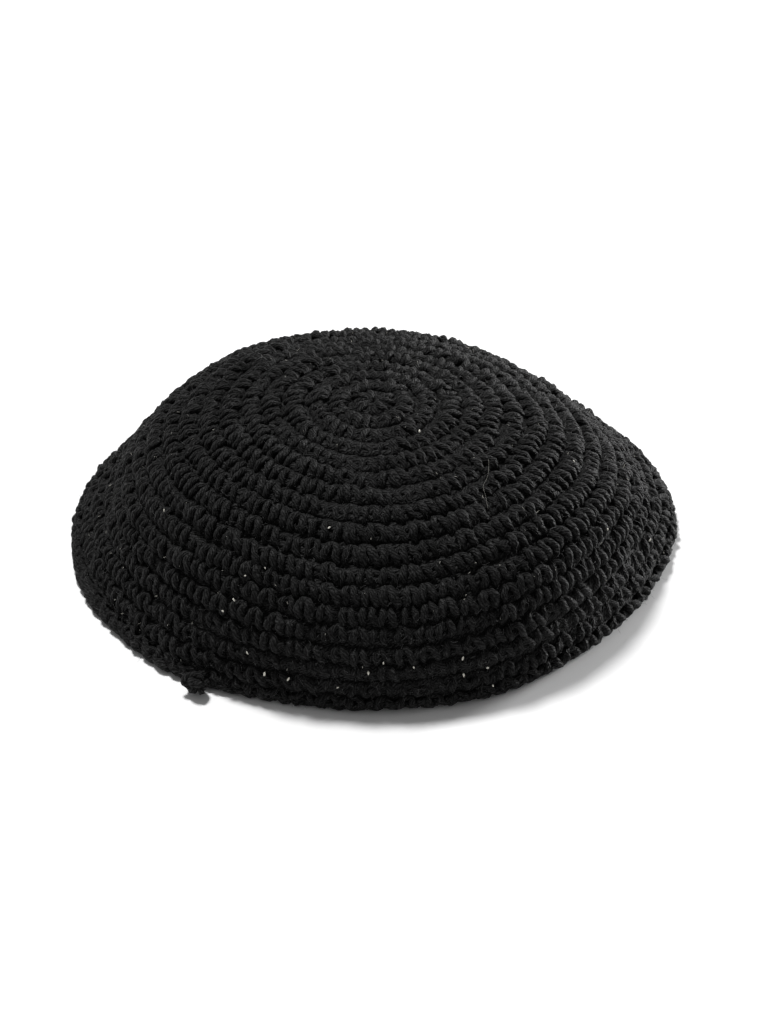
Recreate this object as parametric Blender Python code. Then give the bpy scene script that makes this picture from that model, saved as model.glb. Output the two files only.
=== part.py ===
"""Kippah skullcap, crocheted in the round from the centre out, standing on its rim.

The crown is a hollow dome with one ridge for each round of single crochet. A closing round of slip stitches runs
along the rim, and the yarn ends in a small knot at the front left. The front of the cap faces -Y and +Z is up.
"""

import math

import bpy
import numpy as np

# Driving dimensions, in metres unless the name says otherwise.
ROUNDS = 17
ROUND_HEIGHT = 0.0064
CROWN_HEIGHT = 0.0517
FABRIC_THICKNESS = 0.0031
RIDGE_HEIGHT = 0.0013
RIM_RIDGE_HEIGHT = 0.0008
LINING_RIDGE_HEIGHT = 0.0007
EDGE_HEIGHT = 0.0064
EDGE_BULGE = 0.0006
FOOT_WIDTH = 0.0042
FOOT_ROUNDING = 0.0005
SEAM_GAP = 0.0003
KNOT_LENGTH = 0.0095
KNOT_HEIGHT = 0.0066
KNOT_DEPTH = 0.0056
KNOT_LIFT = 0.0005
KNOT_DIRECTION_DEG = 234.0

# How finely the round shapes are divided.
CROWN_SEGMENTS = 56
KNOT_SEGMENTS = 12
MERIDIAN_STEPS = 240
SHARP_ANGLE_DEG = 85.0

# Directions seen from above, in degrees from +X towards +Y.
DIRECTIONS_DEG = {
    "front": 270.0,
    "front_right": 330.0,
    "back_right": 30.0,
    "back": 90.0,
    "back_left": 150.0,
    "front_left": 210.0,
}

# How steeply the fabric falls away, in degrees below level, at shares of the way from the centre to the rim.
SLOPE_COLUMNS = ("share", "front", "front_right", "back_right", "back", "back_left", "front_left")
SLOPES_DEG = (
    (0.00, 0, 0, 0, 0, 0, 0),
    (0.15, 5, 3, 8, 6, 2, 1),
    (0.30, 12, 9, 14, 14, 8, 6),
    (0.45, 28, 18, 26, 22, 24, 16),
    (0.60, 40, 30, 46, 34, 46, 44),
    (0.75, 64, 74, 46, 48, 56, 74),
    (0.88, 84, 76, 44, 52, 52, 66),
    (1.00, 88, 78, 58, 56, 58, 52),
)

# Soft dents that push the wall inwards, and swells that push it out. Spans are half widths of the dent.
# Depth is a share of the round height, and a swell has a depth below zero.
DENT_COLUMNS = ("name", "direction_deg", "share", "span_deg", "span_share", "depth")
DENTS = (
    ("front_right_tuck", 316.0, 1.00, 30.0, 0.24, 0.38),
    ("front_left_tuck", 244.0, 1.00, 20.0, 0.20, 0.18),
    ("left_swell", 200.0, 1.00, 22.0, 0.22, -0.26),
    ("left_flank_hollow", 165.0, 0.74, 36.0, 0.20, 0.18),
)

# The outline of one round across the fabric: how far along it, and how much of the ridge stands there.
OUTER_ROUND_PROFILE = ((0.00, 0.0), (0.28, 1.0), (0.72, 1.0))
INNER_ROUND_PROFILE = ((0.00, 0.0), (0.50, 1.0))

# Shares of the rounds over which the ridges change from tall ones at the crown to low ones at the rim.
TALL_RIDGES_UNTIL = 0.62
LOW_RIDGES_FROM = 0.78

# Shares of the edge's height at which its outer side is shaped, and how much of the bulge stands there.
EDGE_SIDE_PROFILE = ((0.35, 1.0), (0.72, 0.8))
EDGE_INNER_SIDE = 0.5

# Shares of the knot's radius at which its round face is shaped.
KNOT_RINGS = (0.38, 0.72, 0.95)
KNOT_LOBE = 0.22
KNOT_LOBES = 3

YARN_COLOUR = (0.014, 0.014, 0.015, 1.0)
EDGE_COLOUR = (0.012, 0.012, 0.013, 1.0)
KNOT_COLOUR = (0.010, 0.010, 0.011, 1.0)
YARN_ROUGHNESS = 0.88

CROWN_ARC = ROUNDS * ROUND_HEIGHT
FULL_ARC = CROWN_ARC + EDGE_HEIGHT


def clear_scene():
    """Removes whatever the scene holds."""
    for thing in list(bpy.data.objects):
        bpy.data.objects.remove(thing, do_unlink=True)


def yarn_material(name, colour):
    material = bpy.data.materials.new(name)
    material.use_nodes = True
    shader = material.node_tree.nodes["Principled BSDF"]
    shader.inputs["Base Color"].default_value = colour
    shader.inputs["Roughness"].default_value = YARN_ROUGHNESS
    shader.inputs["Metallic"].default_value = 0.0
    return material


def direction_weights(angle_deg):
    """How much each column of the slope table counts in this direction. The weights add up to one."""
    reach = 360.0 / len(DIRECTIONS_DEG)
    weights = []
    for centre in DIRECTIONS_DEG.values():
        off = abs((angle_deg - centre + 180.0) % 360.0 - 180.0)
        near = math.cos(0.5 * math.pi * off / reach) ** 2
        weights.append(near if off < reach else 0.0)
    return np.array(weights)


def bell(distance, half_width):
    """One at the middle of a dent, falling smoothly to nothing at its edge."""
    inside = np.clip(np.abs(distance) / half_width, 0.0, 1.0)
    return np.cos(0.5 * math.pi * inside) ** 2


def dent_depth(angle_deg, shares):
    """How far the dents move the wall inwards at each share of the way to the rim."""
    depth = np.zeros_like(shares)
    for row in DENTS:
        dent = dict(zip(DENT_COLUMNS, row))
        off = (angle_deg - dent["direction_deg"] + 180.0) % 360.0 - 180.0
        across = bell(off, dent["span_deg"])
        along = bell(shares - dent["share"], dent["span_share"])
        depth += dent["depth"] * ROUND_HEIGHT * across * along
    return depth


class Meridian:
    """The outer face of the fabric in one direction, from the centre of the crown down to the floor."""

    def __init__(self, angle_deg):
        self.angle = math.radians(angle_deg)
        table = np.array(SLOPES_DEG)
        middle = (np.arange(MERIDIAN_STEPS) + 0.5) / MERIDIAN_STEPS
        shares = table[:, SLOPE_COLUMNS.index("share")]
        columns = [np.interp(middle, shares, table[:, SLOPE_COLUMNS.index(name)]) for name in DIRECTIONS_DEG]
        slope = np.radians(direction_weights(angle_deg) @ np.array(columns))
        step = FULL_ARC / MERIDIAN_STEPS
        run = np.concatenate(([0.0], np.cumsum(step * np.cos(slope))))
        fall = np.concatenate(([0.0], np.cumsum(step * np.sin(slope))))
        self.arc = np.linspace(0.0, FULL_ARC, MERIDIAN_STEPS + 1)
        self.radius = run - dent_depth(angle_deg, self.arc / FULL_ARC)
        # The rim lies level on the floor in every direction.
        self.height = CROWN_HEIGHT * (1.0 - fall / fall[-1])
        tangent = np.stack((np.gradient(self.radius), np.gradient(self.height)))
        self.tangent = tangent / np.linalg.norm(tangent, axis=0)

    def at(self, arc, offset=0.0):
        """Radius and height at this distance along the fabric, moved out from its face by the offset."""
        run, rise = (np.interp(arc, self.arc, row) for row in self.tangent)
        size = math.hypot(run, rise)
        radius = np.interp(arc, self.arc, self.radius) - offset * rise / size
        height = np.interp(arc, self.arc, self.height) + offset * run / size
        return float(radius), float(height)

    def point(self, radius, height):
        return (radius * math.cos(self.angle), radius * math.sin(self.angle), height)


def ridge_height(arc):
    """The ridges are tall on the crown and lower towards the rim."""
    reach = (TALL_RIDGES_UNTIL * CROWN_ARC, LOW_RIDGES_FROM * CROWN_ARC)
    return float(np.interp(arc, reach, (RIDGE_HEIGHT, RIM_RIDGE_HEIGHT)))


def outer_stations():
    """Arc and offset of each ring of the outer face, from the first round to the last groove."""
    stations = []
    for number in range(ROUNDS):
        for share, rise in OUTER_ROUND_PROFILE:
            arc = (number + share) * ROUND_HEIGHT
            if arc > 0.0:
                stations.append((arc, rise * ridge_height(arc)))
    stations.append((CROWN_ARC, 0.0))
    return stations


def inner_stations():
    """Arc and offset of each ring of the inner face, from the last round back to the first."""
    stations = []
    for number in range(ROUNDS):
        for share, rise in INNER_ROUND_PROFILE:
            arc = (number + share) * ROUND_HEIGHT
            if arc > 0.0:
                stations.append((arc, -FABRIC_THICKNESS - rise * LINING_RIDGE_HEIGHT))
    stations.append((CROWN_ARC, -FABRIC_THICKNESS))
    stations.reverse()
    return stations


def all_meridians():
    return [Meridian(360.0 * i / CROWN_SEGMENTS) for i in range(CROWN_SEGMENTS)]


def add_solid(name, rings, first_pole, last_pole, material, empty):
    """Skins rings of points into one closed body. With no poles the last ring joins the first."""
    points = [point for ring in rings for point in ring]
    count = len(rings[0])
    faces = []
    pairs = len(rings) if first_pole is None else len(rings) - 1
    for i in range(pairs):
        low = i * count
        high = ((i + 1) % len(rings)) * count
        for j in range(count):
            k = (j + 1) % count
            faces.append((low + j, high + j, high + k, low + k))
    if first_pole is not None:
        points.append(first_pole)
        points.append(last_pole)
        start = (len(rings) - 1) * count
        for j in range(count):
            k = (j + 1) % count
            faces.append((len(points) - 2, j, k))
            faces.append((len(points) - 1, start + k, start + j))
    mesh = bpy.data.meshes.new(name)
    mesh.from_pydata(points, [], faces)
    mesh.materials.append(material)
    mesh.shade_smooth()
    mesh.set_sharp_from_angle(angle=math.radians(SHARP_ANGLE_DEG))
    solid = bpy.data.objects.new(name, mesh)
    solid.parent = empty
    bpy.context.scene.collection.objects.link(solid)
    return solid


def add_crown(meridians, empty):
    """The hollow dome: a ridged outer face, the thickness of the fabric, and a softly ribbed inside."""
    rings = []
    for arc, offset in outer_stations() + inner_stations():
        rings.append([line.point(*line.at(arc, offset)) for line in meridians])
    top = (0.0, 0.0, CROWN_HEIGHT)
    under = (0.0, 0.0, CROWN_HEIGHT - FABRIC_THICKNESS)
    return add_solid("crown", rings, top, under, yarn_material("crown_yarn", YARN_COLOUR), empty)


def edge_outer_side(line):
    """The outer side of the edge from its top to its foot, as radius and height."""
    top = CROWN_ARC + SEAM_GAP
    side = [line.at(top)]
    for share, rise in EDGE_SIDE_PROFILE:
        side.append(line.at(top + share * (FULL_ARC - top), rise * EDGE_BULGE))
    rim_radius, _height = line.at(FULL_ARC)
    side.append((rim_radius - FOOT_ROUNDING, 0.0))
    return side


def edge_section(line):
    """The closed outline of the edge in one direction. Its top seats on the crown and its foot is flat."""
    outline = edge_outer_side(line)
    foot_radius = outline[-1][0] - FOOT_WIDTH
    outline.append((foot_radius, 0.0))
    top_inner = line.at(CROWN_ARC + SEAM_GAP, -FABRIC_THICKNESS)
    middle_radius = foot_radius + EDGE_INNER_SIDE * (top_inner[0] - foot_radius)
    outline.append((middle_radius - FOOT_ROUNDING, EDGE_INNER_SIDE * top_inner[1]))
    outline.append(top_inner)
    return outline


def add_edge_round(meridians, empty):
    """The closing round that the cap stands on."""
    sections = [edge_section(line) for line in meridians]
    rings = []
    for station in range(len(sections[0])):
        rings.append([line.point(*section[station]) for line, section in zip(meridians, sections)])
    return add_solid("edge_round", rings, None, None, yarn_material("edge_yarn", EDGE_COLOUR), empty)


def wall_radius(angle_deg, height):
    """The outermost radius of the edge and the lowest round at this height."""
    line = Meridian(angle_deg)
    outline = edge_outer_side(line)
    for arc, offset in outer_stations():
        if arc > CROWN_ARC - 2.0 * ROUND_HEIGHT:
            outline.append(line.at(arc, offset))
    outline.sort(key=lambda station: station[1])
    heights = [station[1] for station in outline]
    return float(np.interp(height, heights, [station[0] for station in outline]))


def knot_point(share, turn, outward):
    """A point of the knot at a share of its radius, turned round its middle and standing out of the wall."""
    middle_radius = wall_radius(KNOT_DIRECTION_DEG, 0.5 * KNOT_HEIGHT)
    along = 0.5 * KNOT_LENGTH * share * math.cos(turn)
    height = KNOT_LIFT + 0.5 * KNOT_HEIGHT * (1.0 + share * math.sin(turn))
    angle = KNOT_DIRECTION_DEG + math.degrees(along / middle_radius)
    lobe = 1.0 - KNOT_LOBE * share * (1.0 + math.cos(KNOT_LOBES * turn)) / 2.0
    radius = wall_radius(angle, height) + SEAM_GAP + outward * KNOT_DEPTH * lobe
    return (radius * math.cos(math.radians(angle)), radius * math.sin(math.radians(angle)), height)


def add_finishing_knot(empty):
    """The fastened-off end of the yarn, seated on the edge at the front left."""
    turns = [2.0 * math.pi * j / KNOT_SEGMENTS for j in range(KNOT_SEGMENTS)]
    rings = []
    for share in KNOT_RINGS:
        rings.append([knot_point(share, turn, math.sqrt(1.0 - share * share)) for turn in turns])
    rings.append([knot_point(1.0, turn, 0.0) for turn in turns])
    for share in reversed(KNOT_RINGS[:2]):
        rings.append([knot_point(share, turn, 0.0) for turn in turns])
    front = knot_point(0.0, 0.0, 1.0)
    back = knot_point(0.0, 0.0, 0.0)
    material = yarn_material("knot_yarn", KNOT_COLOUR)
    return add_solid("finishing_knot", rings, front, back, material, empty)


def centre_on_origin(empty, solids):
    """Moves the cap so that the middle of its footprint is the origin. The rim is already on the floor."""
    corners = np.array([vertex.co for solid in solids for vertex in solid.data.vertices])
    middle = 0.5 * (corners.min(axis=0) + corners.max(axis=0))
    empty.location = (-middle[0], -middle[1], 0.0)


def make_kippah():
    clear_scene()
    empty = bpy.data.objects.new("kippah", None)
    bpy.context.scene.collection.objects.link(empty)
    meridians = all_meridians()
    crown = add_crown(meridians, empty)
    edge = add_edge_round(meridians, empty)
    knot = add_finishing_knot(empty)
    centre_on_origin(empty, (crown, edge, knot))


make_kippah()
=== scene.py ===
"""The looks of a crocheted kippah skullcap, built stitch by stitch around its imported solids.

The yarn of each round is one closed path. For each stitch it comes out on the side towards the rim, runs
up one leg towards the centre, across and down the other leg, and goes on behind the fabric to the next
stitch. Strands behind the stitches close the fabric. All lengths are in metres, unless a comment gives
another unit.
"""

import math

import bpy
import numpy as np
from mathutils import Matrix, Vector


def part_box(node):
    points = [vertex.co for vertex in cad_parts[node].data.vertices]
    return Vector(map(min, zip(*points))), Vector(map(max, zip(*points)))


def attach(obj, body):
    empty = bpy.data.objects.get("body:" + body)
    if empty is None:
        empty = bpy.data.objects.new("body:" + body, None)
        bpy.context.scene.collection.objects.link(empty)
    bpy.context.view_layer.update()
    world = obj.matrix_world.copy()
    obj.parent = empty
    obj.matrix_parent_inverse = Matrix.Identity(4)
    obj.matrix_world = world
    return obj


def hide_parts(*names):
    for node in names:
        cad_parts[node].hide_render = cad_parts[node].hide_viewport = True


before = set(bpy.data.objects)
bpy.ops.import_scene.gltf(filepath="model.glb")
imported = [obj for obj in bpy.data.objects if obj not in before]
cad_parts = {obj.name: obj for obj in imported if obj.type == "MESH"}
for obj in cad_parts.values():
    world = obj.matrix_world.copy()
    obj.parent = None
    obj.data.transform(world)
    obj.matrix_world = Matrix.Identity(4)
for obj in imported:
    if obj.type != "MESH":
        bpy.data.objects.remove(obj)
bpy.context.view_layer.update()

FULL_TURN = 2.0 * math.pi

# The cap as the solids have it.
ROUNDS = 17
ROUND_HEIGHT = 0.0064
CROWN_HEIGHT = 0.0517
EDGE_HEIGHT = 0.0064
EDGE_BULGE = 0.0006
KNOT_DIRECTION_DEG = 234.0
CROWN_ARC = ROUNDS * ROUND_HEIGHT
FULL_ARC = CROWN_ARC + EDGE_HEIGHT

# Directions seen from above, in degrees from +X towards +Y.
DIRECTIONS_DEG = {
    "front": 270.0,
    "front_right": 330.0,
    "back_right": 30.0,
    "back": 90.0,
    "back_left": 150.0,
    "front_left": 210.0,
}
# How steeply the outer face falls in each direction, by share of the way from the centre to the rim.
SLOPE_COLUMNS = ("share", "front", "front_right", "back_right", "back", "back_left", "front_left")
SLOPES_DEG = (
    (0.00, 0, 0, 0, 0, 0, 0),
    (0.15, 5, 3, 8, 6, 2, 1),
    (0.30, 12, 9, 14, 14, 8, 6),
    (0.45, 28, 18, 26, 22, 24, 16),
    (0.60, 40, 30, 46, 34, 46, 44),
    (0.75, 64, 74, 46, 48, 56, 74),
    (0.88, 84, 76, 44, 52, 52, 66),
    (1.00, 88, 78, 58, 56, 58, 52),
)
# Dents of the wall. Each lies at a direction and a share of the way to the rim, and fades out within its
# spans. Depth is inwards, in round heights. The last dent is for the looks alone, not in the solids.
DENT_COLUMNS = ("name", "direction_deg", "share", "span_deg", "span_share", "depth")
DENTS = (
    ("front_right_tuck", 316.0, 1.00, 30.0, 0.24, 0.38),
    ("front_left_tuck", 244.0, 1.00, 20.0, 0.20, 0.18),
    ("left_swell", 200.0, 1.00, 22.0, 0.22, -0.26),
    ("left_flank_hollow", 165.0, 0.74, 36.0, 0.20, 0.18),
    ("left_rim_tuck", 207.0, 1.00, 26.0, 0.22, 0.20),
)

# The yarn: its plies, and the length in which they twist once round.
YARN_RADIUS = 0.00105
YARN_SIDES = 8
PLIES = 7
TWIST_LENGTH = 0.0100

# The stitches. The cap grows up to one round, is worked straight, and is drawn in towards the rim. The
# yarn's path comes no nearer to the centre than the ring's arc.
STITCHES_ADDED_PER_ROUND = 6.6
LAST_GROWING_ROUND = 12
LAST_STRAIGHT_ROUND = 14
STITCHES_DROPPED_PER_ROUND = 2.7
POINTS_PER_KNOT_OF_PATH = 2
CENTRE_RING_ARC = 0.0009

# Where the rounds start, in turns: each a step on from the one before, and swaying a little. The sway's
# rate is in radians for each round.
PHASE_STEP = 0.061
PHASE_SWAY = 0.043
PHASE_SWAY_RATE = 1.9
# How far back a stitch starts in the round before, in stitch widths, and how much it is drawn to the
# stitch that holds it.
SLANT = 0.12
LEAN_SHARE = 0.50

# By round: how deep the grooves between the rounds are, how far the strand between two stitches stands
# out, how far the yarn behind a round fills the gaps between its stitches, and how thick the yarn is.
RELIEF_COLUMNS = ("round", "groove", "between", "filling", "girth")
RELIEF = (
    (1, 0.75, 0.0, 1.7, 0.86),
    (4, 0.80, 0.0, 1.5, 0.89),
    (7, 0.88, 0.0, 1.2, 0.92),
    (10, 0.95, 0.0, 0.9, 0.92),
    (13, 0.95, 0.2, 0.7, 0.90),
    (15, 0.85, 0.9, 0.8, 0.84),
    (17, 0.78, 1.1, 0.8, 0.82),
)
# The rounds on the front lie a little lower than on the solid, by shares of a round.
FRONT_SAG_ROUNDS = (8.0, 10.0, 14.0, 16.0)
FRONT_SAG_SHARES = (0.00, 0.14, 0.14, 0.00)
FRONT_SAG_SPAN_DEG = 45.0

# One stitch seen from outside, with the crown's centre at the top. Along is in stitch widths, and out is
# in round heights towards the rim. Depth is in yarn radii from the solid's grooves outwards, and girth is
# a share of the yarn's radius. Between is how far the strand rises between two stitches that stand apart,
# in yarn radii.
STITCH_COLUMNS = ("along", "out", "depth", "girth", "between")
STITCH_PATH = (
    (-0.27, 0.98, -2.10, 0.86, 0.0),
    (-0.27, 0.88, -1.05, 1.02, 0.0),
    (-0.26, 0.69, -0.15, 1.16, 0.0),
    (-0.24, 0.46, 0.10, 1.18, 0.0),
    (-0.19, 0.28, -0.25, 1.08, 0.0),
    (-0.08, 0.17, -1.10, 0.98, 0.0),
    (0.08, 0.17, -1.10, 0.98, 0.0),
    (0.18, 0.28, -0.25, 1.08, 0.0),
    (0.24, 0.47, 0.12, 1.20, 0.0),
    (0.30, 0.70, -0.10, 1.18, 0.0),
    (0.35, 0.89, -1.00, 1.04, 0.0),
    (0.36, 1.00, -2.10, 0.86, 0.0),
    (0.36, 0.84, -2.75, 0.90, 0.6),
    (0.47, 0.55, -2.80, 0.95, 1.9),
    (0.58, 0.40, -2.80, 0.95, 1.9),
    (0.72, 0.74, -2.75, 0.90, 0.6),
)

# The top loops and backs of the stitches, as strands that run round behind each round. Out and sway are
# in round heights, depth and girth are in yarn radii, and filling is how much of the round's filling
# lifts the strand.
STRAND_COLUMNS = ("out", "depth", "girth", "sway", "filling")
STRANDS = (
    (1.05, -2.50, 1.28, 0.05, 0.0),
    (0.72, -2.50, 1.30, 0.06, 0.6),
    (0.38, -2.50, 1.30, 0.06, 1.0),
)
STRAND_SIDES = 6
POINTS_PER_STRAND_STITCH = 6
# How far a strand sways out of the fabric, in yarn radii for each round height of its sway along it.
SWAY_LIFT = 2.0

# The edge: a band of short stitches, and under it a braid that lies along the rim. Along is in braid
# loops. Across is from the inside of the cap to the outside and drop is towards the floor, both in yarn
# radii. Girth is a share of the yarn's radius.
EDGE_BAND_ROUND = ROUNDS + 1
EDGE_BAND_LENGTH = 0.66
EDGE_LOOPS = 96
EDGE_COLUMNS = ("along", "across", "drop", "girth")
EDGE_PATH = (
    (0.00, 0.20, -0.80, 0.82),
    (0.25, 0.75, -0.55, 0.98),
    (0.62, 0.98, -0.08, 1.12),
    (1.00, 0.82, 0.38, 1.04),
    (1.30, 0.15, 0.60, 0.86),
    (1.25, -0.55, 0.40, 0.86),
    (0.95, -1.05, 0.00, 1.00),
    (0.45, -1.00, -0.35, 1.00),
    (0.08, -0.40, -0.75, 0.86),
    (0.35, -0.10, -1.00, 0.82),
    (0.75, 0.00, -1.05, 0.82),
)
EDGE_POINTS_PER_KNOT = 3
# The middle of the braid, above the floor and inside the fabric's face, and how uneven the braid is
# across and up, as shares of the stitches' unevenness and of its own.
EDGE_SEAT_HEIGHT = 0.0018
EDGE_INSET = 0.0026
EDGE_UNEVEN_SHARE = 0.5
EDGE_DROP_SHARE = 0.5

# How uneven hand work is, as shares of a stitch width, a round height and the yarn's radius.
ALONG_UNEVEN = 0.065
OUT_UNEVEN = 0.048
DEPTH_UNEVEN = 0.24
GIRTH_UNEVEN = 0.11
LUMP_UNEVEN = 0.075
# How uneven each knot of a stitch is by itself, as shares of how uneven the whole stitch is.
ALONG_KNOT_SHARE = 0.6
OUT_KNOT_SHARE = 0.5
DEPTH_KNOT_SHARE = 0.5
GIRTH_KNOT_SHARE = 0.4
# Slow waves round the cap, as shares of a round height and the yarn's radius, and how many to a turn.
WAVE_OUT = 0.045
WAVE_DEPTH = 0.20
WAVES = (2, 3, 5, 7)
SEED = 1817

# The fastened-off knot: a trefoil of yarn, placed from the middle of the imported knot. Girth is its yarn's
# radius. The lobes' depth and the stretches are shares of its reach, and the lowest height is a share of
# its girth.
KNOT_PLACE = (-0.0018, -0.0016, 0.0)
KNOT_REACH = 0.0016
KNOT_GIRTH = 0.00125
KNOT_SIDES = 10
KNOT_STEPS = 60
KNOT_LOBES = 3.0
KNOT_LOBE_DEPTH = 0.42
KNOT_WINDS = 2.0
KNOT_STRETCH_SIDEWAYS = 1.25
KNOT_STRETCH_UPWARD = 0.80
KNOT_STRETCH_OUTWARD = 0.90
KNOT_LOWEST = 1.1
# The knot's short cut tail, which gets thinner towards its end.
TAIL_COLUMNS = ("sideways", "outward", "upward")
TAIL_PATH = (
    (0.0016, 0.0000, 0.0004),
    (0.0030, 0.0010, -0.0004),
    (0.0040, 0.0016, -0.0014),
)
TAIL_POINTS_PER_KNOT = 4
TAIL_END_SHARE = 0.75

# Loose fibres: how long and thin they are, how deep they start, and how far from the rim and the floor
# they stay.
FIBRES = 3000
FIBRE_RADIUS = 0.000020
FIBRE_SIDES = 3
FIBRE_LENGTHS = (0.0008, 0.0030)
FIBRE_KNOTS = 5
FIBRE_DEPTH = 0.0006
FIBRE_RIM_GAP = 0.002
FIBRE_LOWEST = 0.0003
# How far out they are spread, as a share of the crown's arc, and how strongly they head outwards,
# scatter, curl and wander.
FIBRE_SPREAD = 1.05
FIBRE_OUTWARD = (0.1, 0.9)
FIBRE_SCATTER = 0.9
FIBRE_CURL = 0.5
FIBRE_WANDER = 0.25

# Pale lint caught in the yarn: its direction, how many rounds out it lies, and its length and width.
LINT_COLUMNS = ("direction_deg", "rounds_out", "length", "width")
LINT = (
    (256, 8.6, 0.0011, 0.00050),
    (239, 11.8, 0.0009, 0.00045),
    (238, 13.0, 0.0010, 0.00050),
    (236, 13.7, 0.0008, 0.00050),
    (243, 11.2, 0.0007, 0.00035),
    (247, 16.2, 0.0022, 0.00070),
    (252, 16.2, 0.0013, 0.00055),
    (268, 15.4, 0.0012, 0.00060),
    (271, 14.9, 0.0008, 0.00045),
    (262, 16.3, 0.0008, 0.00035),
    (308, 3.3, 0.0009, 0.00050),
    (287, 15.1, 0.0012, 0.00055),
    (287, 16.0, 0.0012, 0.00065),
    (292, 15.9, 0.0012, 0.00060),
    (293, 17.0, 0.0009, 0.00050),
    (277, 15.2, 0.0008, 0.00045),
    (346, 15.4, 0.0010, 0.00050),
    (210, 11.2, 0.0009, 0.00045),
    (243, 15.3, 0.0010, 0.00035),
    (330, 12.6, 0.0008, 0.00045),
    (341, 9.6, 0.0008, 0.00045),
)
LINT_DEPTH = 0.0014
# Tiny pale ends of fibre, spread over the whole cap.
SPECKS = 150
SPECK_LENGTHS = (0.0005, 0.0012)
SPECK_WIDTHS = (0.00004, 0.00011)
SPECK_DEPTHS = (0.0008, 0.0014)
# A bit of fluff: how much it heads in x, y and z, how far it bends, as a share of its length, and its
# girths from end to end, as shares of its width.
BIT_HEADING = (0.6, 0.6, 1.0)
BIT_BEND = 0.15
BIT_GIRTHS = (0.45, 0.95, 1.0, 0.85, 0.40)
BIT_SIDES = 6

# A pale curled hair on the front right, as the directions and rounds that it runs through, and its lift
# off the fabric's face.
HAIR_COLUMNS = ("direction_deg", "rounds_out", "lift")
HAIR = (
    (322, 6.4, 0.0010),
    (319, 6.7, 0.0014),
    (316, 7.0, 0.0016),
    (313, 7.3, 0.0015),
    (309, 7.6, 0.0013),
    (307, 8.1, 0.0013),
    (305, 8.7, 0.0011),
)
HAIR_RADIUS = 0.000022
HAIR_SIDES = 5
HAIR_POINTS_PER_KNOT = 6

# The shortest length that anything is divided by, and how little a nearly upright way heads sideways.
SMALLEST_LENGTH = 1e-12
NEARLY_UPRIGHT = 0.1


def read_columns(rows, names):
    """Each named column of a short table, as an array."""
    table = np.array(rows)
    return [table[:, names.index(name)] for name in names]


def degrees_from(angles_deg, centre_deg):
    """How far directions lie from a centre, from -180 to 180 degrees."""
    return (angles_deg - centre_deg + 180.0) % 360.0 - 180.0


def direction_weights(angles_deg):
    """How much each column of the slope table counts in each direction."""
    reach = 360.0 / len(DIRECTIONS_DEG)
    weights = []
    for centre in DIRECTIONS_DEG.values():
        off = np.abs(degrees_from(angles_deg, centre))
        weights.append(np.where(off < reach, np.cos(0.5 * np.pi * off / reach) ** 2, 0.0))
    return np.array(weights)


def bell(distance, half_width):
    """One in the middle, falling smoothly to nothing at the half width."""
    inside = np.clip(np.abs(distance) / half_width, 0.0, 1.0)
    return np.cos(0.5 * np.pi * inside) ** 2


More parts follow.
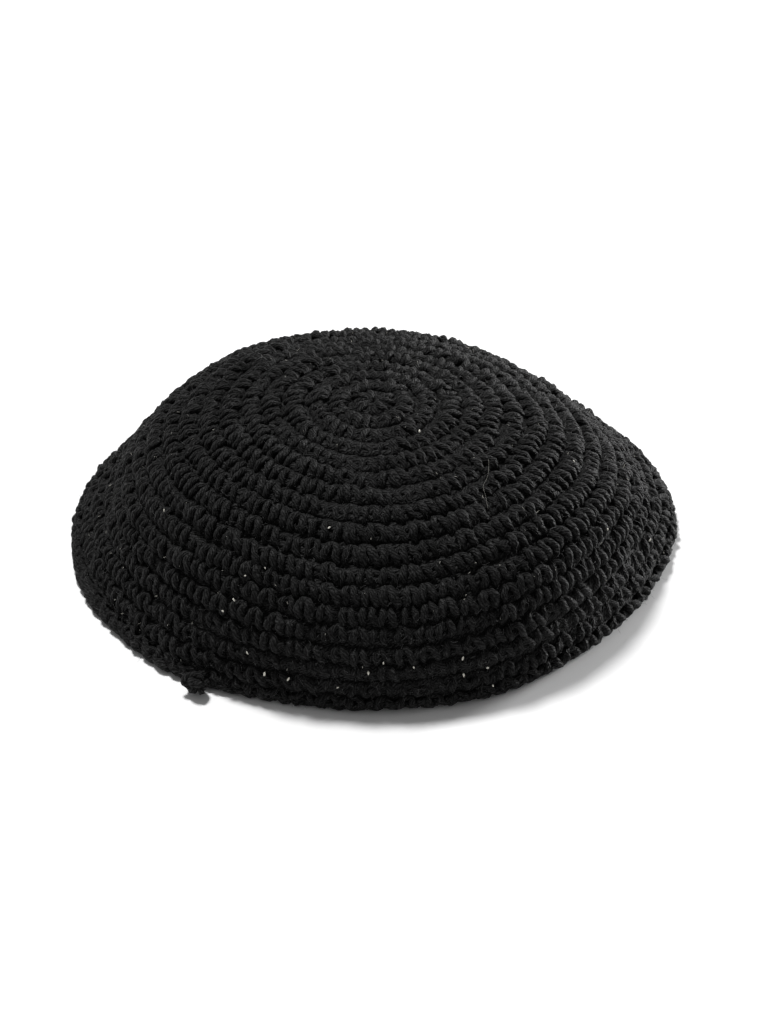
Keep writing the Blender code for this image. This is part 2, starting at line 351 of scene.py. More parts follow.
class Fabric:
    """The outer face of the fabric, as the solids have it, read at any direction, distance and depth."""

    DIRECTION_STEPS = 180
    ARC_STEPS = 240

    def __init__(self):
        angles = np.arange(self.DIRECTION_STEPS) * 360.0 / self.DIRECTION_STEPS
        slope = self.slopes(angles)
        step = FULL_ARC / self.ARC_STEPS
        start = np.zeros((self.DIRECTION_STEPS, 1))
        fall = np.hstack((start, np.cumsum(step * np.sin(slope), axis=1)))
        self.radius = np.hstack((start, np.cumsum(step * np.cos(slope), axis=1)))
        self.height = CROWN_HEIGHT * (1.0 - fall / fall[:, -1:])
        self.press_dents(angles)
        run_step = np.gradient(self.radius, axis=1)
        rise_step = np.gradient(self.height, axis=1)
        size = np.hypot(run_step, rise_step)
        self.run = run_step / size
        self.rise = rise_step / size
        self.seat_on_frame(np.radians(angles))

    def slopes(self, angles_deg):
        """The face's slope in each direction, in the middle of each step of the arc."""
        table = np.array(SLOPES_DEG)
        middle = (np.arange(self.ARC_STEPS) + 0.5) / self.ARC_STEPS
        shares = table[:, SLOPE_COLUMNS.index("share")]
        columns = []
        for name in DIRECTIONS_DEG:
            columns.append(np.interp(middle, shares, table[:, SLOPE_COLUMNS.index(name)]))
        return np.radians(direction_weights(angles_deg).T @ np.array(columns))

    def press_dents(self, angles_deg):
        """Moves the wall in at each dent, and out at each swell."""
        arc_shares = np.linspace(0.0, 1.0, self.ARC_STEPS + 1)
        for row in DENTS:
            dent = dict(zip(DENT_COLUMNS, row))
            across = bell(degrees_from(angles_deg, dent["direction_deg"]), dent["span_deg"])[:, None]
            along = bell(arc_shares - dent["share"], dent["span_share"])[None, :]
            self.radius -= dent["depth"] * ROUND_HEIGHT * across * along

    def seat_on_frame(self, angles):
        """Finds the cap's centre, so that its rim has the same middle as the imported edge."""
        rim = self.radius[:, -1] + EDGE_BULGE
        x, y = rim * np.cos(angles), rim * np.sin(angles)
        low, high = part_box("edge_round")
        self.centre = np.array((
            0.5 * (low.x + high.x) - 0.5 * (x.min() + x.max()),
            0.5 * (low.y + high.y) - 0.5 * (y.min() + y.max()),
            low.z,
        ))

    def read(self, grid, angle, arc):
        """Reads one grid between its lines, going round in direction and stopping at the ends of the arc."""
        i = (angle / FULL_TURN % 1.0) * self.DIRECTION_STEPS
        j = np.clip(arc / FULL_ARC, 0.0, 1.0) * self.ARC_STEPS
        i0 = np.floor(i).astype(int)
        j0 = np.minimum(np.floor(j).astype(int), self.ARC_STEPS - 1)
        fi, fj = i - i0, j - j0
        i0 = i0 % self.DIRECTION_STEPS
        i1 = (i0 + 1) % self.DIRECTION_STEPS
        near = grid[i0, j0] * (1 - fj) + grid[i0, j0 + 1] * fj
        far = grid[i1, j0] * (1 - fj) + grid[i1, j0 + 1] * fj
        return near * (1 - fi) + far * fi

    def point(self, angle, arc, depth):
        """Points at these directions and distances from the centre, this far out from the fabric's face."""
        run, rise = self.read(self.run, angle, arc), self.read(self.rise, angle, arc)
        size = np.hypot(run, rise)
        beyond = np.maximum(arc - FULL_ARC, 0.0)
        radius = self.read(self.radius, angle, arc) + beyond * run / size - depth * rise / size
        height = self.read(self.height, angle, arc) + beyond * rise / size + depth * run / size
        flat = np.stack((radius * np.cos(angle), radius * np.sin(angle), height), axis=-1)
        return flat + self.centre

    def normal(self, angle, arc):
        """The ways straight out of the fabric's face."""
        run, rise = self.read(self.run, angle, arc), self.read(self.rise, angle, arc)
        size = np.hypot(run, rise)
        flat_x, flat_y = -rise / size * np.cos(angle), -rise / size * np.sin(angle)
        return np.stack((flat_x, flat_y, run / size), axis=-1)


def smooth_path(knots, per_knot, closed=True):
    """A smooth curve through the knots, which may carry any number of columns."""
    if closed:
        before, after, later = np.roll(knots, 1, 0), np.roll(knots, -1, 0), np.roll(knots, -2, 0)
        first = knots
    else:
        padded = np.vstack((2 * knots[:1] - knots[1:2], knots, 2 * knots[-1:] - knots[-2:-1]))
        before, first, after, later = padded[:-3], padded[1:-2], padded[2:-1], padded[3:]
    pieces = []
    for step in range(per_knot):
        t = step / per_knot
        pieces.append(0.5 * (
            2 * first
            + (after - before) * t
            + (2 * before - 5 * first + 4 * after - later) * t * t
            + (3 * first - before - 3 * after + later) * t ** 3
        ))
    curve = np.stack(pieces, axis=1).reshape(-1, knots.shape[1])
    return curve if closed else np.vstack((curve, knots[-1:]))


def unit(vectors):
    """The same ways, scaled to a length of one."""
    return vectors / np.maximum(np.linalg.norm(vectors, axis=-1, keepdims=True), SMALLEST_LENGTH)


def carried_frames(points, closed):
    """Two directions across the yarn at each point, turning no more than the path makes them."""
    if closed:
        tangent = unit(np.roll(points, -1, 0) - np.roll(points, 1, 0))
    else:
        tangent = unit(np.gradient(points, axis=0))
    across = np.zeros_like(points)
    start = np.cross(tangent[0], (0.0, 0.0, 1.0))
    if np.linalg.norm(start) < NEARLY_UPRIGHT:
        start = np.cross(tangent[0], (1.0, 0.0, 0.0))
    across[0] = start / np.linalg.norm(start)
    for i in range(1, len(points)):
        carried = across[i - 1] - tangent[i] * across[i - 1].dot(tangent[i])
        across[i] = carried / math.sqrt(carried.dot(carried))
    other = np.cross(tangent, across)
    if closed:
        # What the frames miss at the seam is turned away evenly along the whole path.
        end = across[-1] - tangent[0] * across[-1].dot(tangent[0])
        miss = math.atan2(end.dot(other[0]), end.dot(across[0]))
        turn = (-miss * np.arange(len(points)) / len(points))[:, None]
        turned = across * np.cos(turn) + other * np.sin(turn)
        other = other * np.cos(turn) - across * np.sin(turn)
        across = turned
    return across, other


class YarnMesh:
    """Gathers tubes of yarn into one mesh, with U round the yarn and V along it, in turns of its twist."""

    def __init__(self):
        self.points = []
        self.faces = []
        self.uvs = []
        self.count = 0

    def add_tube(self, path, radii, sides, closed, random=None):
        """Adds a tube along a path. With random numbers its skin is lumpy."""
        across, other = carried_frames(path, closed)
        turn = FULL_TURN * np.arange(sides) / sides
        ring = across[:, None] * np.cos(turn)[None, :, None] + other[:, None] * np.sin(turn)[None, :, None]
        rows = len(path)
        reach = np.repeat(radii[:, None], sides, axis=1)
        if random is not None:
            reach = reach * (1.0 + LUMP_UNEVEN * random.standard_normal((rows, sides)))
        skin = path[:, None] + ring * reach[:, :, None]
        self.points.append(skin.reshape(-1, 3))
        steps = np.linalg.norm(np.roll(path, -1, 0) - path, axis=1)
        v = np.concatenate(([0.0], np.cumsum(steps))) / TWIST_LENGTH
        spans = rows if closed else rows - 1
        i = np.arange(spans)[:, None]
        j = np.arange(sides)[None, :]
        i1, j1 = (i + 1) % rows, (j + 1) % sides
        corners = np.stack((i * sides + j, i * sides + j1, i1 * sides + j1, i1 * sides + j), axis=-1)
        self.faces.append((corners + self.count).reshape(-1, 4))
        u0, u1, v0, v1 = np.broadcast_arrays(j / sides, (j + 1) / sides, v[i], v[i + 1])
        uv = np.stack((u0, v0, u1, v0, u1, v1, u0, v1), axis=-1)
        self.uvs.append(uv.reshape(-1, 2))
        base = self.count
        self.count += rows * sides
        if not closed:
            self.close_end(path[0], base, sides, True, v[0])
            self.close_end(path[-1], base + (rows - 1) * sides, sides, False, v[rows - 1])

    def close_end(self, middle, first, sides, is_start, v):
        """Closes the end of a tube with a fan of thin faces round its middle."""
        self.points.append(middle[None])
        for j in range(sides):
            a, b = first + j, first + (j + 1) % sides
            order = (self.count, b, a) if is_start else (self.count, a, b)
            self.faces.append(np.array([order + (-1,)]))
            self.uvs.append(np.array([(0.5, v), (0.5, v), (0.5, v)]))
        self.count += 1

    def build(self, name, material, slot, *nodes):
        """Makes the mesh a piece that rides on the root and stands for the nodes, if any."""
        points = np.vstack(self.points)
        faces = np.vstack(self.faces)
        # A fourth corner of -1 marks a face with three corners.
        sizes = np.where(faces[:, 3] < 0, 3, 4)
        starts = np.concatenate(([0], np.cumsum(sizes)[:-1]))
        loops = faces.ravel()
        loops = loops[loops >= 0]
        mesh = bpy.data.meshes.new(name)
        mesh.vertices.add(len(points))
        mesh.vertices.foreach_set("co", points.astype(np.float32).ravel())
        mesh.loops.add(len(loops))
        mesh.loops.foreach_set("vertex_index", loops.astype(np.int32))
        mesh.polygons.add(len(faces))
        mesh.polygons.foreach_set("loop_start", starts.astype(np.int32))
        mesh.update(calc_edges=True)
        layer = mesh.uv_layers.new(name="UVMap")
        layer.data.foreach_set("uv", np.vstack(self.uvs).astype(np.float32).ravel())
        mesh.validate()
        mesh.shade_smooth()
        mesh.materials.append(material)
        piece = bpy.data.objects.new(name, mesh)
        bpy.context.scene.collection.objects.link(piece)
        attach(piece, "root")
        if nodes:
            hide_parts(*nodes)


def stitches_in(number):
    """How many stitches a round has."""
    grown = STITCHES_ADDED_PER_ROUND * min(number, LAST_GROWING_ROUND)
    dropped = STITCHES_DROPPED_PER_ROUND * max(0, number - LAST_STRAIGHT_ROUND)
    return int(round(grown - dropped))


def round_phase(number):
    """Where a round's first stitch starts, in turns. It drifts from round to round, as crochet does."""
    return PHASE_STEP * number + PHASE_SWAY * math.sin(PHASE_SWAY_RATE * number)


def stitch_turns(number):
    """The directions of a round's stitches, in turns."""
    count = stitches_in(number)
    return (np.arange(count) + 0.5) / count + round_phase(number)


def hole_turns(number):
    """The directions in which a round's stitches start, near the stitch before that holds each of them."""
    own = stitch_turns(number)
    if number == 1:
        return own
    before = stitches_in(number - 1)
    phase = round_phase(number - 1)
    aim = own - SLANT / len(own)
    held = (np.round((aim - phase) * before - 0.5) + 0.5) / before + phase
    return aim + LEAN_SHARE * (held - aim)


def slow_waves(turns, random):
    """A slow unevenness round the cap, of about unit size."""
    total = 0.0
    for wave in WAVES:
        total = total + random.standard_normal() * np.sin(FULL_TURN * (wave * turns + random.random()))
    return total / math.sqrt(0.5 * len(WAVES))


def uneven(random, shape, knot_share):
    """A quick unevenness of about unit size: one for each stitch, and a share of another for each knot."""
    stitches, _ = shape
    return random.standard_normal((stitches, 1)) + knot_share * random.standard_normal(shape)


def front_sag(turns, rounds_out):
    """How much lower the rounds lie on the front than on the solid, in rounds."""
    off = degrees_from(turns * 360.0, DIRECTIONS_DEG["front"])
    return bell(off, FRONT_SAG_SPAN_DEG) * np.interp(rounds_out, FRONT_SAG_ROUNDS, FRONT_SAG_SHARES)


def arc_at(turns, rounds_out):
    """How far from the centre, along the fabric, the yarn lies that is this many rounds out."""
    arc = (rounds_out + front_sag(turns, rounds_out)) * ROUND_HEIGHT
    return np.maximum(arc, CENTRE_RING_ARC)


def relief_of(number, column):
    """One column of the relief table, read at a round."""
    table = np.array(RELIEF)
    rounds = table[:, RELIEF_COLUMNS.index("round")]
    return np.interp(number, rounds, table[:, RELIEF_COLUMNS.index(column)])


def stitch_knots(number, random, length=1.0):
    """The knots of the yarn's path round one round: direction, arc, depth and radius."""
    along, out, depth, girth, between = read_columns(STITCH_PATH, STITCH_COLUMNS)
    own, hole = stitch_turns(number), hole_turns(number)
    count = len(own)
    shape = (count, len(along))
    share = np.clip(out, 0.0, 1.0)[None, :]
    spread = along[None, :] + ALONG_UNEVEN * uneven(random, shape, ALONG_KNOT_SHARE)
    turns = hole[:, None] * (1.0 - share) + own[:, None] * share + spread / count
    wave_out = WAVE_OUT * slow_waves(turns, random)
    wave_depth = WAVE_DEPTH * slow_waves(turns, random)
    uneven_out = OUT_UNEVEN * uneven(random, shape, OUT_KNOT_SHARE)
    rounds_out = number - 1 + (out[None, :] + uneven_out + wave_out) * length
    lift = DEPTH_UNEVEN * uneven(random, shape, DEPTH_KNOT_SHARE)
    thick = 1.0 + GIRTH_UNEVEN * uneven(random, shape, GIRTH_KNOT_SHARE)
    raised = depth * relief_of(number, "groove") + between * relief_of(number, "between")
    depth = (raised[None, :] + lift + wave_depth) * YARN_RADIUS
    radii = girth[None, :] * thick * relief_of(number, "girth") * YARN_RADIUS
    return turns * FULL_TURN, arc_at(turns, rounds_out), depth, radii


def add_closed_yarn(yarn, fabric, points, radii, per_knot, random):
    """Lays one closed and lumpy yarn through its knots, none of them sunk into the floor."""
    points[:, 2] = np.maximum(points[:, 2], radii + fabric.centre[2])
    curve = smooth_path(np.hstack((points, radii[:, None])), per_knot)
    yarn.add_tube(curve[:, :3], curve[:, 3], YARN_SIDES, True, random)


def add_stitches(yarn, fabric, number, random, length=1.0):
    """The stitches of one round. Length is in round heights."""
    angle, arc, depth, radii = stitch_knots(number, random, length)
    points = fabric.point(angle.ravel(), arc.ravel(), depth.ravel())
    add_closed_yarn(yarn, fabric, points, radii.ravel(), POINTS_PER_KNOT_OF_PATH, random)


def add_strands(yarn, fabric, number, random):
    """The strands behind a round's stitches, which sway once for each stitch."""
    count = stitches_in(number)
    points = count * POINTS_PER_STRAND_STITCH
    turns = np.arange(points) / points
    for row in STRANDS:
        strand = dict(zip(STRAND_COLUMNS, row))
        sway = strand["sway"] * np.cos(FULL_TURN * (count * turns + random.random()))
        lift = SWAY_LIFT * strand["sway"] * np.sin(FULL_TURN * (count * turns + random.random()))
        filled = strand["filling"] * relief_of(number, "filling")
        depth = (strand["depth"] + filled) * relief_of(number, "groove") + lift
        arc = arc_at(turns, number - 1 + strand["out"] + sway)
        path = fabric.point(turns * FULL_TURN, arc, depth * YARN_RADIUS)
        yarn.add_tube(path, np.full(points, strand["girth"] * YARN_RADIUS), STRAND_SIDES, True)


def make_round(fabric, number, material, random):
    """One round of the crown: its stitches and the strands behind them."""
    yarn = YarnMesh()
    add_stitches(yarn, fabric, number, random)
    add_strands(yarn, fabric, number, random)
    yarn.build(f"crown_round_{number:02d}", material, "crown_yarn", "crown")


def make_edge(fabric, material, random):
    """The closing round: a band of short stitches over a braid of loops that lies along the rim."""
    yarn = YarnMesh()
    add_stitches(yarn, fabric, EDGE_BAND_ROUND, random, EDGE_BAND_LENGTH)
    along, across, drop, girth = read_columns(EDGE_PATH, EDGE_COLUMNS)
    shape = (EDGE_LOOPS, len(along))
    loops = np.arange(EDGE_LOOPS)[:, None] + along[None, :] + ALONG_UNEVEN * random.standard_normal(shape)
    angle = (loops / EDGE_LOOPS).ravel() * FULL_TURN
    lift = EDGE_UNEVEN_SHARE * DEPTH_UNEVEN * random.standard_normal(shape)
    thick = 1.0 + GIRTH_UNEVEN * random.standard_normal(shape)
    radii = (girth[None, :] * thick).ravel() * YARN_RADIUS
    outward = (across[None, :] + lift).ravel() * YARN_RADIUS - EDGE_INSET
    lowered = (drop[None, :] + EDGE_DROP_SHARE * lift).ravel() * YARN_RADIUS
    points = fabric.point(angle, np.full(angle.size, FULL_ARC), np.zeros(angle.size))
    points[:, 0] += outward * np.cos(angle)
    points[:, 1] += outward * np.sin(angle)
    points[:, 2] = fabric.centre[2] + EDGE_SEAT_HEIGHT - lowered
    add_closed_yarn(yarn, fabric, points, radii, EDGE_POINTS_PER_KNOT, random)
    yarn.build("edge_braid", material, "edge_yarn", "edge_round")


def make_knot(material, random):
    """The fastened-off yarn: a small knot pulled tight against the edge, with a short cut tail."""
    low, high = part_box("finishing_knot")
    middle = 0.5 * (np.array(low) + np.array(high)) + np.array(KNOT_PLACE)
    angle = math.radians(KNOT_DIRECTION_DEG)
    outward = np.array((math.cos(angle), math.sin(angle), 0.0))
    sideways = np.array((-math.sin(angle), math.cos(angle), 0.0))
    upward = np.array((0.0, 0.0, 1.0))
    yarn = YarnMesh()
    turn = FULL_TURN * np.arange(KNOT_STEPS) / KNOT_STEPS
    swing = KNOT_REACH * (1.0 + KNOT_LOBE_DEPTH * np.cos(KNOT_LOBES * turn))
    path = middle + np.outer(KNOT_STRETCH_SIDEWAYS * swing * np.cos(KNOT_WINDS * turn), sideways)
    path = path + np.outer(KNOT_STRETCH_UPWARD * swing * np.sin(KNOT_WINDS * turn), upward)
    path = path + np.outer(KNOT_STRETCH_OUTWARD * KNOT_REACH * np.sin(KNOT_LOBES * turn), outward)
    path[:, 2] = np.maximum(path[:, 2], KNOT_LOWEST * KNOT_GIRTH)
    yarn.add_tube(path, np.full(KNOT_STEPS, KNOT_GIRTH), KNOT_SIDES, True, random)
    steps = read_columns(TAIL_PATH, TAIL_COLUMNS)
    knots = middle + sum(np.outer(step, way) for step, way in zip(steps, (sideways, outward, upward)))
    curve = smooth_path(knots, TAIL_POINTS_PER_KNOT, closed=False)
    radii = YARN_RADIUS * np.linspace(1.0, TAIL_END_SHARE, len(curve))
    yarn.add_tube(curve, radii, KNOT_SIDES, False)
    yarn.build("finishing_knot_yarn", material, "knot_yarn", "finishing_knot")


def fibre_path(start, way, length, random):
    """A fibre's path, which curls one way and wanders."""
    path = [start]
    curl = random.standard_normal(3) * FIBRE_CURL
    for _ in range(FIBRE_KNOTS):
        way = way + curl + FIBRE_WANDER * random.standard_normal(3)
        way = way / np.linalg.norm(way)
        path.append(path[-1] + way * length / FIBRE_KNOTS)
    return np.array(path)


def make_fibres(fabric, material, random):
    """Short loose fibres that stand off the yarn and make its soft outline."""
    yarn = YarnMesh()
    arc = CROWN_ARC * np.sqrt(random.random(FIBRES)) * FIBRE_SPREAD
    angle = FULL_TURN * random.random(FIBRES)
    length = random.uniform(*FIBRE_LENGTHS, FIBRES)
    start = fabric.point(angle, np.minimum(arc, FULL_ARC - FIBRE_RIM_GAP), np.full(FIBRES, FIBRE_DEPTH))
    outward = fabric.normal(angle, arc) * random.uniform(*FIBRE_OUTWARD, (FIBRES, 1))
    heading = unit(outward + FIBRE_SCATTER * random.standard_normal((FIBRES, 3)))
    for i in range(FIBRES):
        path = fibre_path(start[i], heading[i], length[i], random)
        path[:, 2] = np.maximum(path[:, 2], fabric.centre[2] + FIBRE_LOWEST)
        yarn.add_tube(path, np.full(len(path), FIBRE_RADIUS), FIBRE_SIDES, False)
    yarn.build("loose_fibres", material, "crown_yarn")


def add_bit(yarn, middle, length, width, random):
    """One short bent bit of fluff, thickest in its middle."""
    way = unit(random.standard_normal(3) * BIT_HEADING)
    bend = random.standard_normal(3) * BIT_BEND
    reach = np.linspace(-0.5, 0.5, len(BIT_GIRTHS))
    path = middle + length * (reach[:, None] * way + (reach ** 2)[:, None] * bend)
    yarn.add_tube(path, 0.5 * width * np.array(BIT_GIRTHS), BIT_SIDES, False)


def make_lint(fabric, material, random):
    """Pale lint, where the photograph shows it, and tiny pale specks all over."""
    yarn = YarnMesh()
    for row in LINT:
        bit = dict(zip(LINT_COLUMNS, row))
        angle = np.array([math.radians(bit["direction_deg"])])
        arc = np.array([bit["rounds_out"] * ROUND_HEIGHT])
        middle = fabric.point(angle, arc, np.array([LINT_DEPTH]))[0]
        add_bit(yarn, middle, bit["length"], bit["width"], random)
    arc = CROWN_ARC * np.sqrt(random.random(SPECKS))
    angle = FULL_TURN * random.random(SPECKS)
    middles = fabric.point(angle, arc, random.uniform(*SPECK_DEPTHS, SPECKS))
    for middle in middles:
        add_bit(yarn, middle, random.uniform(*SPECK_LENGTHS), random.uniform(*SPECK_WIDTHS), random)
    yarn.build("pale_lint", material, "crown_yarn")


def make_hair(fabric, material):
    """One thin curled hair, where the photograph shows it."""
    yarn = YarnMesh()
    direction_deg, rounds_out, lift = read_columns(HAIR, HAIR_COLUMNS)
    knots = fabric.point(np.radians(direction_deg), rounds_out * ROUND_HEIGHT, lift)
    curve = smooth_path(knots, HAIR_POINTS_PER_KNOT, closed=False)
    yarn.add_tube(curve, np.full(len(curve), HAIR_RADIUS), HAIR_SIDES, False)
    yarn.build("curled_hair", material, "crown_yarn")


# Noises as their scale, in waves to a metre, and their detail. The fibres' scale is in streaks, which are
# counted to a ply round the yarn and to a turn of the twist along it.
WOBBLE_NOISE = (620.0, 2.0)
PATCH_NOISE = (85.0, 3.0)
GRAIN_NOISE = (1300.0, 1.5)
FIBRE_NOISE = (1.0, 2.0)
FIBRE_STREAKS = (1.6, 10.0)
LOOSE_FIBRE_NOISE = (400.0, 2.0)
FLUFF_NOISE = (900.0, 2.0)
NOISE_ROUGHNESS = 0.6
# All the values that a noise or a share can have.
WHOLE_RANGE = (0.0, 1.0)

# The yarn: how far the plies wobble, in plies, how far the plies and fibres stand out, in metres, and how
# much each thing lightens the yarn. The plies' share paints shade into the grooves between the plies and
# highlight onto their tops; the fibres' share is partly the yarn's own streaky tone and partly painted
# highlight.
WOBBLE_REACH = 2.2
PLY_RELIEF = 0.00026
FIBRE_RELIEF = 0.00020
PLY_SHADE_AND_HIGHLIGHT_SHARE = 0.45
FIBRE_TONE_AND_HIGHLIGHT_SHARE = 1.20
PATCH_SHARE = 0.30
GRAIN_SHARE = 0.80
# The sums of those shares that give the darkest and the lightest yarn, and how few places are light, which
# keeps the painted highlights sparse.
TONE_RANGE = (1.12, 1.80)
TONE_POWER = 2.3
YARN_COLOURS = ((0.0015, 0.0015, 0.0015, 1.0), (0.033, 0.033, 0.033, 1.0))
YARN_ROUGHNESS = (0.45, 0.80)
SPECULAR = 0.086
SHEEN = 0.02
SHEEN_ROUGHNESS = 0.5

# The looks of the loose fibres, the lint, the hair and the floor, from dark to light. The loose fibres are
# painted paler than the yarn, as a painted highlight of the light that they catch.
LOOSE_FIBRE_HIGHLIGHT_TONES = (0.02, 0.20)
LOOSE_FIBRE_ROUGHNESS = 0.6
LINT_COLOURS = ((0.30, 0.29, 0.25, 1.0), (0.90, 0.87, 0.78, 1.0))
HAIR_COLOURS = ((0.12, 0.115, 0.10, 1.0), (0.36, 0.35, 0.31, 1.0))
FLUFF_ROUGHNESS = 0.7
FLOOR_COLOUR = (0.87, 0.87, 0.87, 1.0)
FLOOR_ROUGHNESS = 0.7
FLOOR_SPECULAR = 0.1


def new_material(name):
    """A material, with its node tree and its shader."""
    material = bpy.data.materials.new(name)
    material.use_nodes = True
    tree = material.node_tree
    return material, tree, tree.nodes["Principled BSDF"]


def object_place(tree):
    """The place on the object, in metres."""
    return tree.nodes.new("ShaderNodeTexCoord").outputs["Object"]


def link_math(tree, operation, first, second=None):
    """One sum, of sockets or plain numbers."""
    node = tree.nodes.new("ShaderNodeMath")
    node.operation = operation
    for socket, value in zip(node.inputs, (first, second)):
        if isinstance(value, (int, float)):
            socket.default_value = value
        elif value is not None:
            tree.links.new(value, socket)
    return node.outputs[0]


def link_noise(tree, place, noise):
    """Noise at a place, from 0 to 1."""
    scale, detail = noise
    node = tree.nodes.new("ShaderNodeTexNoise")
    node.inputs["Scale"].default_value = scale
    node.inputs["Detail"].default_value = detail
    node.inputs["Roughness"].default_value = NOISE_ROUGHNESS
    tree.links.new(place, node.inputs["Vector"])
    return node.outputs[0]


def link_range(tree, value, old, new):
    """Stretches an old range of values to a new one."""
    node = tree.nodes.new("ShaderNodeMapRange")
    for name, end in zip(("From Min", "From Max", "To Min", "To Max"), (*old, *new)):
        node.inputs[name].default_value = end
    tree.links.new(value, node.inputs[0])
    return node.outputs[0]


def link_colours(tree, share, colours):
    """Mixes a dark and a light colour, by the share of the light one."""
    node = tree.nodes.new("ShaderNodeMix")
    node.data_type = "RGBA"
    colour_inputs = [socket for socket in node.inputs if socket.type == "RGBA"]
    for socket, colour in zip(colour_inputs, colours):
        socket.default_value = colour
    tree.links.new(share, node.inputs["Factor"])
    return [socket for socket in node.outputs if socket.type == "RGBA"][0]


def link_bump(tree, height, distance, normal=None):
    """A bump of this height, on top of another bump's normal, if any."""
    node = tree.nodes.new("ShaderNodeBump")
    node.inputs["Strength"].default_value = 1.0
    node.inputs["Distance"].default_value = distance
    tree.links.new(height, node.inputs["Height"])
    if normal is not None:
        tree.links.new(normal, node.inputs["Normal"])
    return node.outputs[0]


def yarn_directions(tree):
    """How far round the yarn and how far along it a place lies, both in turns."""
    uv = tree.nodes.new("ShaderNodeUVMap")
    uv.uv_map = "UVMap"
    split = tree.nodes.new("ShaderNodeSeparateXYZ")
    tree.links.new(uv.outputs["UV"], split.inputs[0])
    return split.outputs[0], split.outputs[1]


def yarn_fibres(tree, wound, along):
    """Streaks of fine fibre, which follow the plies. Where they lighten the yarn's colour, they are partly
    its own streaky tone and partly painted highlight.
    """
    place = tree.nodes.new("ShaderNodeCombineXYZ")
    for socket, way, streaks in zip(place.inputs, (wound, along), FIBRE_STREAKS):
        tree.links.new(link_math(tree, "MULTIPLY", way, streaks), socket)
    return link_noise(tree, place.outputs[0], FIBRE_NOISE)


def yarn_material(name):
    """Twisted spun yarn: plies wound round each other, fine fibres along them, and worn lighter patches. Its
    colour carries painted shade in the grooves between the plies, and painted highlight on their tops and
    along the fibre streaks.
    """
    material, tree, shader = new_material(name)
    around, along = yarn_directions(tree)
    place = object_place(tree)
    wobble = link_noise(tree, place, WOBBLE_NOISE)
    patches = link_noise(tree, place, PATCH_NOISE)
    grain = link_noise(tree, place, GRAIN_NOISE)

    twist = link_math(tree, "MULTIPLY", link_math(tree, "ADD", around, along), PLIES)
    wound = link_math(tree, "ADD", twist, link_math(tree, "MULTIPLY", wobble, WOBBLE_REACH))
    ply_wave = link_math(tree, "SINE", link_math(tree, "MULTIPLY", wound, math.pi))
    ply = link_math(tree, "ABSOLUTE", ply_wave)
    fibres = yarn_fibres(tree, wound, along)

    # The colour: painted shade in the grooves between the plies and painted highlight on their tops, painted
    # highlight along the fibre streaks on top of their own tone, and random patches and grain.
    tone_and_painted_light = link_math(tree, "MULTIPLY", ply, PLY_SHADE_AND_HIGHLIGHT_SHARE)
    for part, share in ((fibres, FIBRE_TONE_AND_HIGHLIGHT_SHARE), (patches, PATCH_SHARE), (grain, GRAIN_SHARE)):
        tone_and_painted_light = link_math(tree, "ADD", tone_and_painted_light, link_math(tree, "MULTIPLY", part, share))
    light = link_math(tree, "POWER", link_range(tree, tone_and_painted_light, TONE_RANGE, WHOLE_RANGE), TONE_POWER)
    ply_bump = link_bump(tree, ply, PLY_RELIEF)
    bump = link_bump(tree, link_math(tree, "ADD", fibres, grain), FIBRE_RELIEF, ply_bump)

    tree.links.new(link_colours(tree, light, YARN_COLOURS), shader.inputs["Base Color"])
    tree.links.new(link_range(tree, fibres, WHOLE_RANGE, YARN_ROUGHNESS), shader.inputs["Roughness"])
    tree.links.new(bump, shader.inputs["Normal"])
    shader.inputs["Specular IOR Level"].default_value = SPECULAR
    shader.inputs["Sheen Weight"].default_value = SHEEN
    shader.inputs["Sheen Roughness"].default_value = SHEEN_ROUGHNESS
    return material


def highlight_fibre_material():
    """Loose fibre ends, painted paler than the yarn they come from: a painted highlight for the light that
    they catch.
    """
    material, tree, shader = new_material("loose_fibre")
    noise = link_noise(tree, object_place(tree), LOOSE_FIBRE_NOISE)
    tone_and_painted_light = link_range(tree, noise, WHOLE_RANGE, LOOSE_FIBRE_HIGHLIGHT_TONES)
    tree.links.new(tone_and_painted_light, shader.inputs["Base Color"])
    shader.inputs["Roughness"].default_value = LOOSE_FIBRE_ROUGHNESS
    return material


def fluff_material(name, colours):
    """Pale fluff, a little warm and uneven."""
    material, tree, shader = new_material(name)
    noise = link_noise(tree, object_place(tree), FLUFF_NOISE)
    tree.links.new(link_colours(tree, noise, colours), shader.inputs["Base Color"])
    shader.inputs["Roughness"].default_value = FLUFF_ROUGHNESS
    return material


def floor_material():
    """A plain white ground."""
    material, _, shader = new_material("pale_floor")
    shader.inputs["Base Color"].default_value = FLOOR_COLOUR
    shader.inputs["Roughness"].default_value = FLOOR_ROUGHNESS
    shader.inputs["Specular IOR Level"].default_value = FLOOR_SPECULAR
    return material


# The floor lies just under the cap's foot, so that the two don't share a plane.
FLOOR_REACH = 3.0
FLOOR_HEIGHT = -0.0002


def make_floor():
    """A wide white plane, which belongs to the stage and not to the part."""
    mesh = bpy.data.meshes.new("floor")
    corners = [(x * FLOOR_REACH, y * FLOOR_REACH, 0) for x, y in ((-1, -1), (1, -1), (1, 1), (-1, 1))]
    mesh.from_pydata(corners, [], [(0, 1, 2, 3)])
    mesh.materials.append(floor_material())
    floor = bpy.data.objects.new("floor", mesh)
    floor.location.z = FLOOR_HEIGHT
    bpy.context.scene.collection.objects.link(floor)


# The photograph's view: where the camera stands, and its lens in pixels of the 768 x 1024 frame. The aim
# is a place on the cap and the pixel where it is seen.
CAMERA_AZIMUTH_DEG = -1.06
CAMERA_ELEVATION_DEG = 34.34
CAMERA_DISTANCE = 1.031
CAMERA_FOCAL_PX = 3507.6
CAMERA_NEAREST = 0.01
CAMERA_FARTHEST = 20.0
AIM_PLACE = (-0.0005, -0.0086, 0.0250)
AIM_PIXEL = (373.5, 478.6)
FRAME_CENTRE = (384.0, 512.0)
FRAME_LONG_SIDE = 1024.0
SENSOR_WIDTH = 36.0


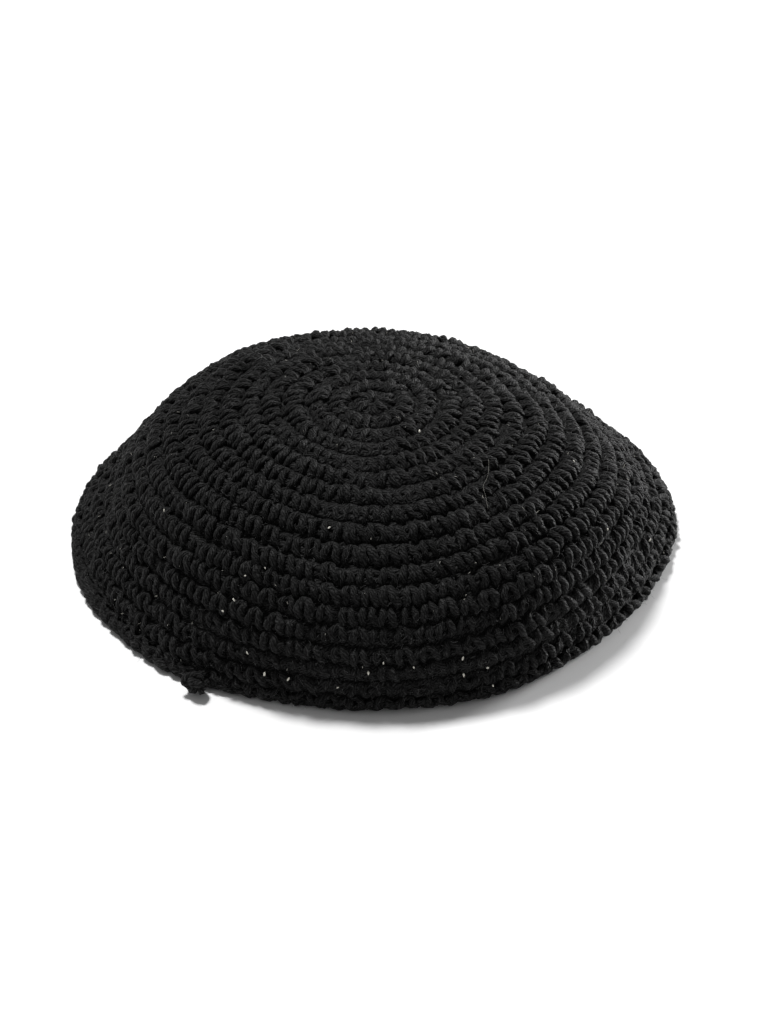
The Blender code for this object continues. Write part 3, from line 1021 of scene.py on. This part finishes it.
def make_camera():
    """The camera, turned a little off the aim, so that the aim is seen at its own pixel."""
    azimuth = math.radians(CAMERA_AZIMUTH_DEG)
    elevation = math.radians(CAMERA_ELEVATION_DEG)
    aim = Vector(AIM_PLACE)
    right = Vector((math.cos(azimuth), math.sin(azimuth), 0.0))
    level = Vector((math.sin(azimuth), -math.cos(azimuth), 0.0))
    back = level * math.cos(elevation) + Vector((0.0, 0.0, math.sin(elevation)))
    up = back.cross(right)
    per_pixel = CAMERA_DISTANCE / CAMERA_FOCAL_PX
    centre = aim + right * (FRAME_CENTRE[0] - AIM_PIXEL[0]) * per_pixel
    centre = centre - up * (FRAME_CENTRE[1] - AIM_PIXEL[1]) * per_pixel
    data = bpy.data.cameras.new("camera")
    data.sensor_width = SENSOR_WIDTH
    data.lens = CAMERA_FOCAL_PX * SENSOR_WIDTH / FRAME_LONG_SIDE
    data.clip_start = CAMERA_NEAREST
    data.clip_end = CAMERA_FARTHEST
    camera = bpy.data.objects.new("camera", data)
    camera.location = aim + back * CAMERA_DISTANCE
    camera.rotation_mode = "QUATERNION"
    camera.rotation_quaternion = (centre - camera.location).to_track_quat("-Z", "Y")
    bpy.context.scene.collection.objects.link(camera)
    bpy.context.scene.camera = camera


# Soft round lights, which face the middle of the cap's foot. Power is in watts.
LIGHT_COLUMNS = ("name", "place", "size", "power")
LIGHTS = (
    ("overhead_behind", (-0.30, 0.43, 1.32), 0.35, 22.0),
    ("rim_right_behind", (1.00, 0.60, 0.17), 0.30, 21.0),
)
WORLD_COLOUR = (1.0, 1.0, 1.0, 1.0)
WORLD_STRENGTH = 0.28


def make_lights():
    """The two lamps, and an even white world around them."""
    for row in LIGHTS:
        light = dict(zip(LIGHT_COLUMNS, row))
        data = bpy.data.lights.new(light["name"], "AREA")
        data.shape = "DISK"
        data.size = light["size"]
        data.energy = light["power"]
        lamp = bpy.data.objects.new(light["name"], data)
        lamp.location = light["place"]
        lamp.rotation_mode = "QUATERNION"
        lamp.rotation_quaternion = (-Vector(light["place"])).to_track_quat("-Z", "Y")
        bpy.context.scene.collection.objects.link(lamp)
    world = bpy.data.worlds.new("studio")
    world.use_nodes = True
    background = world.node_tree.nodes["Background"]
    background.inputs["Color"].default_value = WORLD_COLOUR
    background.inputs["Strength"].default_value = WORLD_STRENGTH
    bpy.context.scene.world = world


def make_kippah():
    """The whole cap. The pieces draw their random numbers in this order."""
    fabric = Fabric()
    random = np.random.default_rng(SEED)
    crown = yarn_material("crown_yarn")
    edge = yarn_material("edge_yarn")
    knot = yarn_material("knot_yarn")
    for number in range(1, ROUNDS + 1):
        make_round(fabric, number, crown, random)
    make_edge(fabric, edge, random)
    make_knot(knot, random)
    make_fibres(fabric, highlight_fibre_material(), random)
    make_lint(fabric, fluff_material("lint", LINT_COLOURS), random)
    make_hair(fabric, fluff_material("hair", HAIR_COLOURS))


make_kippah()
make_floor()
make_camera()
make_lights()
bpy.context.scene.view_settings.view_transform = "Standard"
